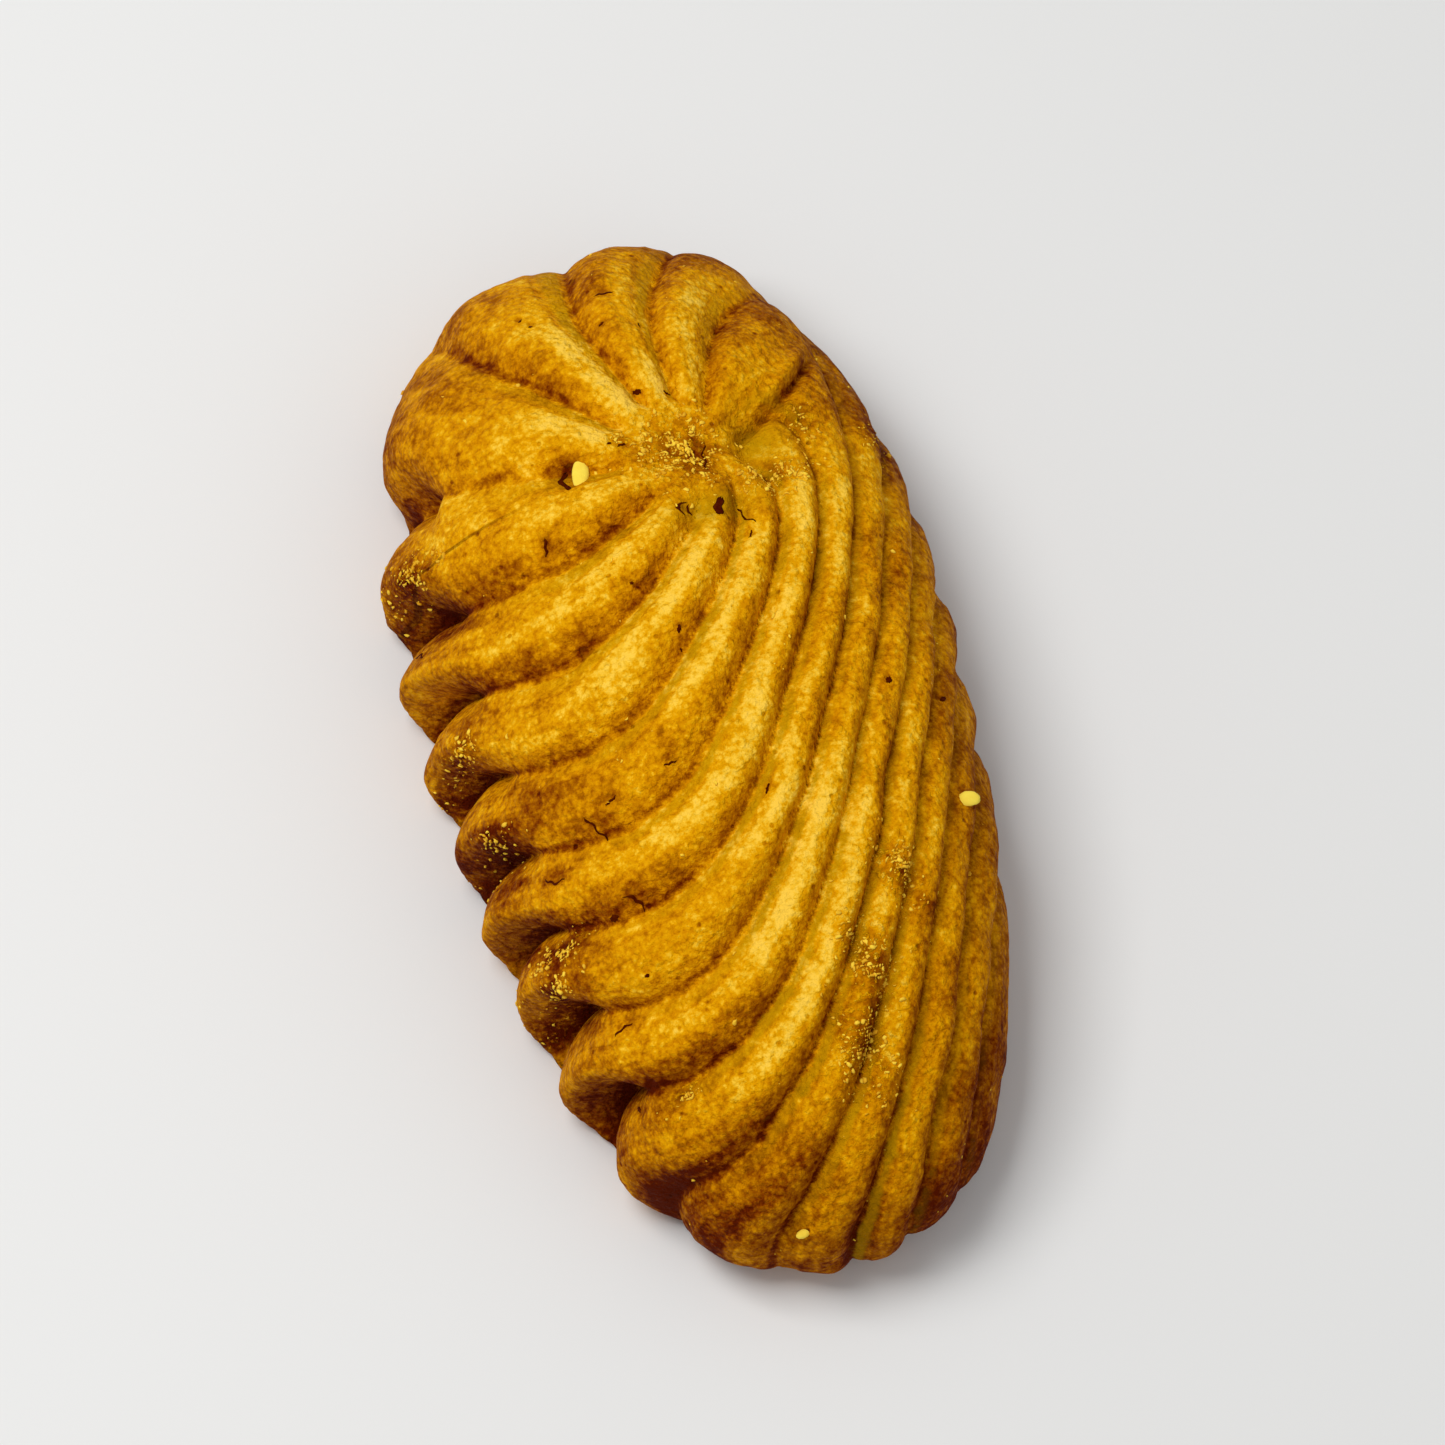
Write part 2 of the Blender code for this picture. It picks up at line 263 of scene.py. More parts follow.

# Burnt specks, and short cracks whose dark colour is painted shade: place over the underside, length, width,
# turn in degrees and curl.
BURNT_SPECKS_AND_CRACK_SHADE = (
    ((0.0035, 0.0118), 0.00165, 0.00070, 68.0, 0.3),
    ((0.0049, 0.0112), 0.00340, 0.00016, -60.0, 0.0),
    ((0.0043, 0.0160), 0.00260, 0.00016, 73.0, 0.1),
    ((-0.0051, 0.0182), 0.00300, 0.00046, 72.0, 0.45),
    ((0.0009, 0.0125), 0.00110, 0.00034, 60.0, 0.9),
    ((0.0014, 0.0123), 0.00080, 0.00026, -80.0, -0.6),
    ((0.0041, 0.0221), 0.00080, 0.00024, -20.0, 0.0),
    ((0.0022, 0.0228), 0.00070, 0.00042, -20.0, 0.0),
    ((0.0035, 0.0319), 0.00130, 0.00026, -15.0, 0.0),
    ((0.0022, 0.0293), 0.00050, 0.00028, 30.0, 0.0),
    ((0.0046, 0.0283), 0.00050, 0.00024, 80.0, 0.0),
    ((-0.0085, 0.0137), 0.00125, 0.00028, 70.0, 0.0),
    ((-0.0125, -0.0129), 0.00170, 0.00026, -61.0, 0.3),
    ((-0.0140, -0.0131), 0.00065, 0.00055, 10.0, 0.0),
    ((-0.0015, -0.0093), 0.00100, 0.00030, 70.0, 0.0),
    ((0.0103, -0.0038), 0.00060, 0.00046, 60.0, 0.0),
    ((-0.0027, 0.0037), 0.00065, 0.00032, 60.0, 0.0),
    ((-0.0032, 0.0025), 0.00040, 0.00018, -50.0, 0.0),
    ((0.0142, -0.0049), 0.00060, 0.00040, 20.0, 0.0),
    ((-0.0160, -0.0244), 0.00080, 0.00030, -60.0, 0.0),
    ((-0.0014, 0.0194), 0.00045, 0.00022, 10.0, 0.0),
    ((-0.0116, -0.0057), 0.00100, 0.00026, 13.0, 0.0),
    ((-0.0129, -0.0069), 0.00230, 0.00018, -74.0, 0.0),
    ((-0.0071, -0.0052), 0.00090, 0.00018, 0.0, 0.0),
    ((0.0050, 0.0089), 0.00080, 0.00016, 60.0, 0.0),
    ((-0.0046, 0.0084), 0.00028, 0.00022, 0.0, 0.0),
    ((-0.0043, 0.0079), 0.00030, 0.00020, 0.0, 0.0),
    ((-0.0135, -0.0180), 0.00036, 0.00026, 0.0, 0.0),
    ((-0.0021, 0.0314), 0.00036, 0.00026, 0.0, 0.0),
    ((-0.0027, 0.0323), 0.00045, 0.00020, 50.0, 0.0),
    ((-0.0007, 0.0190), 0.00080, 0.00026, 5.0, 0.2),
    ((-0.0175, 0.0130), 0.00200, 0.00024, -35.0, 0.3),
    ((-0.0165, -0.0085), 0.00180, 0.00022, -30.0, -0.3),
    ((-0.0158, -0.0200), 0.00160, 0.00022, 10.0, 0.2),
)

# Pale flakes: place over the underside, length, width, thickness and turn in degrees.
PALE_FLAKES = (
    ((-0.0042, 0.0180), 0.00270, 0.00120, 0.00060, 68.0),
    ((0.0131, -0.0125), 0.00160, 0.00115, 0.00050, -14.0),
    ((-0.0084, -0.0365), 0.00110, 0.00065, 0.00045, 5.0),
)


def number_property(name, description, default, **settings):
    """A setting that is one number."""
    return FloatProperty(name=name, description=description, default=default, **settings)


def length_property(name, description, default):
    """A setting in metres."""
    return number_property(name, description, default, unit="LENGTH")


def share_property(name, description, default):
    """A setting from 0 to 1."""
    return number_property(name, description, default, subtype="FACTOR")


def angle_property(name, description, default):
    """A setting in radians."""
    return number_property(name, description, default, subtype="ANGLE")


def place_property(name, description, default):
    """A setting that is a place over the underside, or a reach across and along it."""
    return FloatVectorProperty(
        name=name, description=description, size=2, default=default, subtype="TRANSLATION")


def colour_property(name, description, default):
    """A setting that is a linear colour."""
    return FloatVectorProperty(
        name=name, description=description, size=3, default=default, subtype="COLOR", min=0.0, max=1.0)


class TaralloLoaf(bpy.types.PropertyGroup):
    """The smooth loaf under the ridges."""

    length: length_property("Length", "From the tail to the star end", 0.0777)
    width: length_property("Width", "Across the widest part, before the ridges are carved", 0.0382)
    height: length_property("Height", "From the underside to the crown", 0.0225)
    foot_height: length_property("Foot height", "Height of the widest line round the biscuit", 0.0042)
    underside_share: share_property("Underside", "The flat underside's size as a share of the outline", 0.86)
    star_end_power: number_property("Star end power", "2 is half an ellipse, more is squarer", 2.6)
    tail_power: number_property("Tail power", "2 is half an ellipse, more is squarer", 2.35)
    star_end_wider: share_property(
        "Star end wider", "Share by which the star end is wider, and the tail narrower", 0.044)
    bend: length_property("Bend", "How far the star end lies to the right, and the tail to the left", 0.0031)
    bow: length_property("Bow", "How far both ends lie to the left of the middle", 0.0003)
    side_shift: length_property(
        "Side shift", "Moves the outline left, so that the carved biscuit is centred", 0.00038)
    swell_depth: length_property("Left swell", "How far the left side bulges near the star end", 0.0011)
    swell_middle: number_property("Left swell place", "Where, from -1 at the tail to 1 at the star end", 0.40)
    swell_reach: number_property(
        "Left swell reach", "How far along the side it reaches, in the same measure", 0.30)
    crown_power: number_property("Crown power", "Under 1 makes the crown broader than an ellipse", 0.92)


class TaralloRidges(bpy.types.PropertyGroup):
    """The ridges that the nozzle's teeth left, and the star where it was pulled off."""

    teeth: IntProperty(name="Nozzle teeth", description="Ridges that leave the star", default=10)
    star_place: place_property("Star place", "Where the star lies over the underside", (0.00445, 0.01735))
    star_dip_depth: length_property("Star dip", "How far the star's middle is sunk", 0.0012)
    star_dip_radius: length_property("Star dip radius", "How wide that dip is", 0.0050)
    star_plain_place: place_property(
        "Plain place", "Middle of the rough patch where the nozzle tore off", (0.0030, 0.0172))
    star_plain_radius: length_property("Plain radius", "Inside this the patch has no ridges", 0.0034)
    star_full_radius: length_property("Full radius", "From here on the grooves have their full depth", 0.0058)
    hollow_place: place_property("Hollow place", "The hollow to the right of the star", (0.0088, 0.0169))
    hollow_reach: place_property(
        "Hollow reach", "How far the hollow reaches across and along", (0.0017, 0.0024))
    hollow_depth: length_property("Hollow depth", "How far the hollow is sunk", 0.0012)
    phase_at_star: number_property("Phase", "Turns the whole pattern of ridges round the star", 2.44)
    drift_length: length_property(
        "Ridge spacing", "Distance downstream in which one more ridge is laid", 0.00346)
    drift_softness: length_property("Drift softness", "Distance over which the drift sets in", 0.0083)
    drift_slant: number_property(
        "Drift slant", "How far downstream turns from the tail to the right side", 0.605)
    drift_spread: number_property("Drift spread", "How much faster it drifts to either side, in 1/m", 27.2)
    drift_shear: number_property("Drift shear", "How the slant changes along the biscuit, in 1/m", -8.0)
    across_drift: number_property("Across drift", "Ridges per metre across the biscuit", 11.0)
    along_drift: number_property("Along drift", "Ridges per metre along the biscuit", 83.9)
    star_twist: number_property(
        "Star twist", "Spreads the star's own teeth unevenly, in ridges per metre", -143.8)
    star_reach: length_property("Star reach", "How far that twist reaches", 0.0187)
    left_rise: number_property(
        "Left rise", "How the ridges level out on the left, in ridges per square metre", 3740.0)
    left_rise_start: length_property("Left rise start", "How far left of the star that sets in", 0.0093)
    left_rise_softness: length_property("Left rise softness", "Distance over which it sets in", 0.0020)
    crown_depth: length_property("Crown grooves", "Depth of the grooves on the crown", 0.0012)
    rim_depth: length_property("Rim grooves", "Depth of the grooves where they reach the rim", 0.0009)
    rim_top: share_property(
        "Rim top", "Share of the height from which the grooves lose depth towards the rim", 0.6)
    calm_place: place_property(
        "Calm place", "Where the star's left ridges are smeared almost flat", (-0.0088, 0.0233))
    calm_radius: length_property("Calm radius", "How far that reaches", 0.0080)
    calm_share: share_property("Calm share", "Share of the grooves' depth that is lost there", 0.35)
    edge_depth: length_property(
        "Edge grooves", "Depth of the notches between the ridge tips on the left edge", 0.0044)
    notched_from: number_property("Notched from", "Place along the edge where the notches begin", -0.88)
    notched_to: number_property("Notched to", "Place along the edge where they end", 0.86)
    notch_fade: number_property("Notch fade", "How gradually they begin and end", 0.30)
    edge_starts: share_property("Notches start", "From 0 at the middle line to 1 at the left edge", 0.83)
    roundness: number_property(
        "Roundness", "Under 1 makes broad ridges with narrow grooves between them", 0.58)
    edge_roundness: number_property("Tip roundness", "The same for the tips on the left edge", 0.52)
    right_roundness: number_property("Right roundness", "The same on the right side", 0.44)
    right_starts: share_property(
        "Right side starts", "From 0 at the middle line to 1 at the right edge", 0.10)
    right_share_lost: share_property(
        "Right share lost", "Share of the grooves' depth that is lost on the right side", 0.32)
    lean: number_property("Lean", "How far the crests lean towards the tail, in ridges", 0.13)
    foot_fade: share_property(
        "Foot fade", "Share of the foot's height over which the grooves run out downwards", 0.25)
    softness: number_property("Groove softness", "Rounds the bottom of each groove", 0.08)


class TaralloRelief(bpy.types.PropertyGroup):
    """What makes the ridges uneven."""

    wander: number_property("Wander", "How far ridges stray sideways, in ridges", 0.07)
    wander_size: length_property("Wander size", "Distance over which they stray", 0.0090)
    depth_unevenness: share_property("Uneven grooves", "Share by which the grooves' depth varies", 0.30)
    swell: length_property("Swell", "Height of broad swellings", 0.00026)
    swell_size: length_property("Swell size", "Width of broad swellings", 0.0052)
    stray: number_property("Stray", "How far the bands on each ridge stray, in ridges", 0.035)
    shoulder: length_property("Shoulder", "Height of the step from the valley up to the crest", 0.00020)
    fold_start: place_property(
        "Fold start", "Where the fold beside the star's hollow begins", (0.0072, 0.0169))
    fold_end: place_property("Fold end", "Where it ends, near the right rim", (0.0168, 0.0239))
    fold_bow: length_property("Fold bow", "How far its middle lies towards the tail", 0.0009)
    fold_width: length_property("Fold width", "Half the width of its crease", 0.00042)
    fold_depth: length_property("Fold depth", "Depth of its crease", 0.00085)
    fold_lip: length_property("Fold lip", "Height of the dough that bulges over it", 0.00045)
    lump: length_property("Lumps", "Height of small lumps", 0.00011)
    lump_size: length_property("Lump size", "Width of small lumps", 0.0017)
    grain: length_property("Grain", "Height of the dough's grain", 0.00005)
    grain_size: length_property("Grain size", "Width of the dough's grain", 0.0008)
    crumbly: length_property("Crumbly", "Height of the rough crust where crumbs cling", 0.00020)
    pit_depth: length_property("Pits", "Depth of the pits round burnt specks", 0.00022)


class TaralloCrust(bpy.types.PropertyGroup):
    """The crust's colours, from underbaked to burnt, some of which also paint light and shade, and its shine.
    """

    # The palest colours also make the painted highlight on the crests, and the toasted, browned and dark
    # colours also make the painted shade on the far flanks and in the creases.
    floury_and_lit: colour_property("Floury", "The palest grains on the crests", (1.0, 0.61, 0.062))
    pale: colour_property("Pale", "The pale side of the crests", (0.92, 0.525, 0.027))
    golden: colour_property("Golden", "The crests of the crown", (0.81, 0.375, 0.0018))
    toasted: colour_property("Toasted", "The flanks of the ridges", (0.64, 0.245, 0.0006))
    browned: colour_property("Browned", "The grooves and edges", (0.38, 0.114, 0.0003))
    dark: colour_property("Dark", "The tips and the deepest creases", (0.20, 0.034, 0.0003))
    scorched: colour_property("Scorched", "The darkest edges of the tips", (0.10, 0.009, 0.0003))
    # The olive shaded colour is partly unbrowned dough and partly painted shade, in the hollows and in the
    # valleys beside the grooves.
    shaded: colour_property(
        "Shaded", "Unbrowned dough in hollows and beside the grooves", (0.49, 0.264, 0.0015))
    crumb: colour_property("Crumbs", "Loose golden crumbs", (0.98, 0.66, 0.050))
    # The burnt colour is burnt sugar on the specks and painted shade on the cracks.
    burnt_and_crack_shade: colour_property("Burnt", "Burnt specks and cracks", (0.055, 0.004, 0.0005))
    flake: colour_property("Flakes", "Pale flakes", (0.97, 0.74, 0.080))
    roughness: share_property("Roughness", "How dull the crust is", 0.66)
    specular: share_property("Specular", "How strongly the crust reflects", 0.02)


class TaralloStage(bpy.types.PropertyGroup):
    """The floor, the lights and the camera."""

    azimuth: angle_property("Azimuth", "Turn of the camera round the biscuit", math.radians(34.0))
    elevation: angle_property("Elevation", "The camera's height above the horizon", math.radians(66.0))
    roll: angle_property("Roll", "Turn of the camera about its own line of sight", math.radians(12.9))
    lens: number_property("Lens", "Focal length in millimetres", 500.0)
    distance: length_property("Distance", "From the camera to the biscuit", 1.405)
    floor_size: length_property("Floor size", "Side of the floor", 4.0)
    key_power: number_property("Key light", "Power of the large soft light, in watts", 1.68)
    fill_power: number_property("Fill light", "Power of the light on the other side, in watts", 0.20)
    surround: number_property("Surround", "Strength of the even light from all round", 0.42)


def smooth_step(value, low, high):
    """Rise from 0 at low to 1 at high with level ends."""
    share = np.clip((value - low) / (high - low), 0.0, 1.0)
    return share * share * (3.0 - 2.0 * share)


def lumps(points, size, seed):
    """Smooth noise from -1 to 1: random numbers on a lattice of that size, blended with smooth steps."""
    lattice = np.random.default_rng(seed).uniform(-1.0, 1.0, (LATTICE_SIDE,) * 3)
    place = points @ LATTICE_TURN / size
    corner = np.floor(place).astype(int)
    share = place - corner
    share = share ** 3 * (share * (share * 6.0 - 15.0) + 10.0)
    total = np.zeros(points.shape[:-1])
    for step in np.ndindex(2, 2, 2):
        weight = np.prod(np.where(step, share, 1.0 - share), axis=-1)
        at = (corner + step) % LATTICE_SIDE
        total += weight * lattice[at[..., 0], at[..., 1], at[..., 2]]
    return total


def half_width(along, loaf):
    """Half the outline's width: an egg of two powers, wider at the star end."""
    power = np.where(along > 0.0, loaf.star_end_power, loaf.tail_power)
    egg = np.maximum(1.0 - np.abs(along) ** power, 0.0) ** (1.0 / power)
    return 0.5 * loaf.width * egg * (1.0 + loaf.star_end_wider * along)


def middle_line(along, loaf):
    """How far to the right the outline's middle lies: half a wave, less a bow to the left."""
    return loaf.bend * np.sin(0.5 * math.pi * along) - loaf.bow * along ** 2 - loaf.side_shift


def left_swell(along, across_share, loaf):
    """How far the left side bulges: a bell curve along it, times the square of the place across."""
    bulge = loaf.swell_depth * np.exp(-((along - loaf.swell_middle) / loaf.swell_reach) ** 2)
    return bulge * np.minimum(across_share, 0.0) ** 2


def loaf_surface(loaf):
    """The smooth loaf as rings from the star end to the tail, each from the left edge over the crown.

    A unit sphere with its poles on Y is stretched to the egg-shaped outline. Above the widest line its height
    is a power of the sphere's, and below it a quarter circle runs in to the flat underside.
    """
    ring = (np.arange(RINGS) + 1.0) / (RINGS + 1.0) * math.pi
    pole_angle = (ring + RING_EVENNESS * np.sin(2.0 * ring))[:, None]
    turn = (np.arange(SEGMENTS) / SEGMENTS)[None, :]
    upper = turn / UPPER_SEGMENT_SHARE * 0.5
    lower = 1.0 - (1.0 - turn) / (1.0 - UPPER_SEGMENT_SHARE) * 0.5
    angle = np.where(turn < UPPER_SEGMENT_SHARE, upper, lower) * 2.0 * math.pi
    across = -np.sin(pole_angle) * np.cos(angle)
    up = np.sin(pole_angle) * np.sin(angle)
    along = np.cos(pole_angle) + 0.0 * angle
    across_share = across / np.sin(pole_angle)
    x = middle_line(along, loaf) + half_width(along, loaf) * across_share
    x = x - left_swell(along, across_share, loaf)
    y = 0.5 * loaf.length * along
    crown = loaf.foot_height + (loaf.height - loaf.foot_height) * np.maximum(up, 0.0) ** loaf.crown_power
    share = np.hypot(across, along)
    past_underside = np.clip((share - loaf.underside_share) / (1.0 - loaf.underside_share), 0.0, 1.0)
    foot = loaf.foot_height * (1.0 - np.sqrt(1.0 - past_underside ** 2))
    return np.stack((x, y, np.where(up >= 0.0, crown, foot)), axis=-1)


def grid_normals(points):
    """Outward unit normals of a grid of closed rings, from the differences of each point's neighbours."""
    along = np.gradient(points, axis=0)
    around = np.roll(points, -1, axis=1) - np.roll(points, 1, axis=1)
    normals = np.cross(along, around)
    return normals / np.maximum(np.linalg.norm(normals, axis=-1, keepdims=True), TINY)


def ridge_phase(x, y, ridges):
    """Count ridges: whole numbers lie in the grooves, halves on the crests.

    The teeth give equal turns round the star. Downstream of it more ridges are laid, one each drift length,
    along a slanted and slightly curved front.
    """
    across = x - ridges.star_place[0]
    along = y - ridges.star_place[1]
    turns = np.arctan2(along, across) / (2.0 * math.pi)
    bent_front = ridges.drift_spread * across ** 2 + ridges.drift_shear * across * along
    downstream = -along + ridges.drift_slant * across + bent_front
    softened = 0.5 * (downstream + np.hypot(downstream, ridges.drift_softness))
    near_star = np.exp(-(across ** 2 + along ** 2) / ridges.star_reach ** 2)
    drift = ridges.across_drift * across + ridges.along_drift * along + softened / ridges.drift_length
    past_rise = -across - ridges.left_rise_start
    rise = ridges.left_rise * (0.5 * (past_rise + np.hypot(past_rise, ridges.left_rise_softness))) ** 2
    at_star = ridges.phase_at_star + ridges.star_twist * near_star * across
    return ridges.teeth * turns + at_star + drift + rise


def ridge_crest(phase, roundness, ridges):
    """The ridges' cross-section: a power of a sine wave, 0 in the softened grooves and 1 on the crests, which
    lean, so that each ridge rises gently and drops steeply."""
    softness = ridges.softness
    leaning = phase - ridges.lean * np.sin(math.pi * phase) ** 2
    softened = (np.sin(math.pi * leaning) ** 2 + softness ** 2) ** (0.5 * roundness)
    lowest = softness ** roundness
    highest = (1.0 + softness ** 2) ** (0.5 * roundness)
    return (softened - lowest) / (highest - lowest)


def bell(points, place, reach):
    """1 at a place over the underside, falling off as a bell curve whose reach is given each way."""
    away = ((points[..., 0] - place[0]) / reach[0]) ** 2 + ((points[..., 1] - place[1]) / reach[1]) ** 2
    return np.exp(-away)


def groove_depth(points, end_share, left_edge, right_side, loaf, ridges):
    """How deep a groove is: shallow on the crown, more so at the rim, on the right side and in the calm
    patch, deep between the tips on the left edge, and nothing in the rough patch of the star."""
    rim = 1.0 - smooth_step(points[..., 2], loaf.foot_height, ridges.rim_top * loaf.height)
    depth = ridges.crown_depth + (ridges.rim_depth - ridges.crown_depth) * rim
    calm = bell(points, ridges.calm_place, (ridges.calm_radius, ridges.calm_radius))
    depth = depth * (1.0 - ridges.calm_share * calm)
    depth = depth * (1.0 - ridges.right_share_lost * right_side)
    notched = smooth_step(end_share, ridges.notched_from, ridges.notched_from + ridges.notch_fade)
    notched = notched * smooth_step(-end_share, -ridges.notched_to, ridges.notch_fade - ridges.notched_to)
    depth = depth + (ridges.edge_depth - depth) * left_edge * notched
    plain = ridges.star_plain_place
    from_plain = np.hypot(points[..., 0] - plain[0], points[..., 1] - plain[1])
    return depth * smooth_step(from_plain, ridges.star_plain_radius, ridges.star_full_radius)


def band(share, edges):
    """1 inside a band of each ridge, with soft edges: where it starts, is full, starts to fade and ends."""
    return smooth_step(share, edges[0], edges[1]) * (1.0 - smooth_step(share, edges[2], edges[3]))


def fold_shape(points, relief):
    """The fold's crease and lip: bell curves of the distance from a bowed line, faded at its ends."""
    start, end = np.array(relief.fold_start), np.array(relief.fold_end)
    direction = (end - start) / np.linalg.norm(end - start)
    from_start = points[..., :2] - start
    share = (from_start @ direction) / np.linalg.norm(end - start)
    bowed = relief.fold_bow * 4.0 * share * (1.0 - share)
    across = from_start @ np.array((-direction[1], direction[0])) + bowed
    shown = smooth_step(share, 0.0, FOLD_SETS_IN) * (1.0 - smooth_step(share, FOLD_FADES_FROM, 1.0))
    crease = np.exp(-(across / relief.fold_width) ** 2) * shown
    lip = np.exp(-((across / relief.fold_width - LIP_PLACE) / LIP_REACH) ** 2) * shown
    return crease, lip


def relief_height(points, crumbly, relief):
    """The dough's unevenness: four sizes of smooth noise, the finest only where crumbs cling."""
    height = relief.swell * lumps(points, relief.swell_size, SWELL_SEED)
    height = height + relief.lump * lumps(points, relief.lump_size, LUMP_SEED)
    height = height + relief.grain * lumps(points, relief.grain_size, GRAIN_SEED)
    return height + relief.crumbly * crumbly * lumps(points, relief.grain_size, CRUMBLY_SEED)


def dough_surface(context):
    """The carved and roughened loaf: its points, normals, and the measures that its colours follow."""
    scene = context.scene
    loaf, ridges, relief = scene.tarallo_loaf, scene.tarallo_ridges, scene.tarallo_relief
    points = loaf_surface(loaf)
    normals = grid_normals(points)
    x, y, z = points[..., 0], points[..., 1], points[..., 2]
    above_foot = smooth_step(z, 0.0, ridges.foot_fade * loaf.foot_height)
    end_share = np.clip(y / (0.5 * loaf.length), -ENDMOST, ENDMOST)
    leftwards = (middle_line(end_share, loaf) - x) / half_width(end_share, loaf)
    left_edge = smooth_step(leftwards, ridges.edge_starts, 1.0)
    right_side = smooth_step(-leftwards, ridges.right_starts, 1.0)
    from_star = np.hypot(x - ridges.star_place[0], y - ridges.star_place[1])

    wander = relief.wander * lumps(points, relief.wander_size, WANDER_SEED)
    phase = ridge_phase(x, y, ridges) + wander * smooth_step(from_star, 0.0, ridges.star_full_radius)
    roundness = ridges.roundness + (ridges.edge_roundness - ridges.roundness) * left_edge
    roundness = roundness + (ridges.right_roundness - ridges.roundness) * right_side
    crest = ridge_crest(phase, roundness, ridges)
    depth = groove_depth(points, end_share, left_edge, right_side, loaf, ridges)
    depth = depth * (1.0 + relief.depth_unevenness * lumps(points, relief.swell_size, UNEVENNESS_SEED))
    dip = ridges.star_dip_depth * np.exp(-(from_star / ridges.star_dip_radius) ** 2)
    hollow = bell(points, ridges.hollow_place, ridges.hollow_reach)

    crumbly = sum(bell(points, place, spread) for place, spread, count in CRUMB_GROUPS[:-1])
    crumbly = np.clip(crumbly, 0.0, 1.0) * above_foot
    pits = sum(bell(points, place, (0.5 * length, 0.5 * length))
               for place, length, width, turn, curl in BURNT_SPECKS_AND_CRACK_SHADE)
    pits = np.clip(pits, 0.0, 1.0)
    grooved = np.clip(depth / ridges.crown_depth, 0.0, 1.0)
    strayed = phase + relief.stray * lumps(points, relief.lump_size, STRAY_SEED)
    share = strayed - np.floor(strayed)
    shoulder = (smooth_step(share, *SHOULDER) - share) * grooved

    fold, lip = fold_shape(points, relief)
    sunk = depth * (1.0 - crest) + dip + ridges.hollow_depth * hollow + relief.pit_depth * pits
    sunk = sunk + relief.fold_depth * fold - relief.fold_lip * lip
    sunk = (sunk - relief_height(points, crumbly, relief) - relief.shoulder * shoulder) * above_foot
    moves = normals.copy()
    moves[..., 2] = np.where(z < loaf.foot_height, 0.0, moves[..., 2])
    carved = points - sunk[..., None] * moves

    middle = 0.5 * (carved.min(axis=(0, 1)) + carved.max(axis=(0, 1)))
    carved[..., :2] += np.array(CAD_MIDDLE)[:2] - middle[:2]
    carved[..., 2] -= carved[..., 2].min()

    shown = grooved * above_foot
    low_wall = 1.0 - smooth_step(z, LOW_WALL_FROM * loaf.height, LOW_WALL_TO * loaf.height)
    left_tips = smooth_step(leftwards, LEFT_TIPS_FROM, 1.0)
    tail = smooth_step(-end_share, TAIL_FROM, ENDMOST)
    in_groove = smooth_step(share, *CREASE_STARTS) + 1.0 - smooth_step(share, *CREASE_ENDS)
    off_wall = 1.0 - WALL_CALM * low_wall * smooth_step(-leftwards, RIGHT_SIDE_FROM, 1.0)
    # Across each ridge the valley, floury, flank and crease bands paint light and shade: olive partly painted
    # shade beside the groove, a painted highlight on the crest, painted shade on the far flank, and a crease
    # that is partly a baked line and partly painted shade. The right side is partly painted shade, and the
    # pits measure holds the painted shade in the fold's crease and round the cracks.
    measures = {
        "valley": band(share, VALLEY_BAND) * shown,
        "floury_and_lit": band(share, FLOURY_AND_LIT_BAND) * shown,
        "flank": band(share, FLANK_BAND) * shown * off_wall,
        "crease": np.maximum(in_groove * shown * off_wall, fold),
        "phase": phase,
        "along": y / loaf.length,
        "wall": low_wall,
        "right": smooth_step(-leftwards, RIGHT_SIDE_FROM, 1.0) * above_foot,
        "left": smooth_step(leftwards, LEFT_SIDE_FROM, 1.0),
        "tips": left_tips * above_foot,
        "tail": tail,
        "crumbly": crumbly,
        "unbrowned_and_shaded": np.clip(sum(bell(points, place, reach) for place, reach in UNBROWNED_AND_SHADED_PLACES), 0.0, 1.0),
        "pits": np.maximum(pits, FOLD_PAINTED_SHADE * fold),
    }
    return carved, grid_normals(carved), measures


def closed_faces(rings, segments):
    """Quads between rings and triangles to a pole at each end, which are the last two points."""
    ring = np.arange(rings - 1)[:, None] * segments
    here = np.arange(segments)[None, :]
    after = (here + 1) % segments
    quads = np.stack((ring + here, ring + segments + here, ring + segments + after, ring + after), axis=-1)
    first_pole = rings * segments
    last_ring = (rings - 1) * segments
    here, after = here[0], after[0]
    start = np.stack((np.full(segments, first_pole), here, after), axis=-1)
    end = np.stack((np.full(segments, first_pole + 1), last_ring + after, last_ring + here), axis=-1)
    return quads.reshape(-1, 4), start, end


def closed_points(grid):
    """A grid's points, followed by its two poles, each in the middle of the ring next to it."""
    flat = grid.reshape(-1, grid.shape[-1])
    return np.concatenate((flat, grid[:1].mean(axis=1), grid[-1:].mean(axis=1)))


def add_piece(name, points, faces, material, measures=None):
    """Make a smooth mesh object that stands for the biscuit's finish, with a measure at each point."""
    mesh = bpy.data.meshes.new(name)
    mesh.from_pydata(points.tolist(), [], faces)
    for measure, values in (measures or {}).items():
        attribute = mesh.attributes.new(measure, "FLOAT", "POINT")
        attribute.data.foreach_set("value", np.asarray(values, dtype=np.float32).ravel())
    mesh.shade_smooth()
    mesh.materials.append(material)
    mesh.update()
    piece = bpy.data.objects.new(name, mesh)
    bpy.context.scene.collection.objects.link(piece)
    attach(piece, BODY)
    return piece


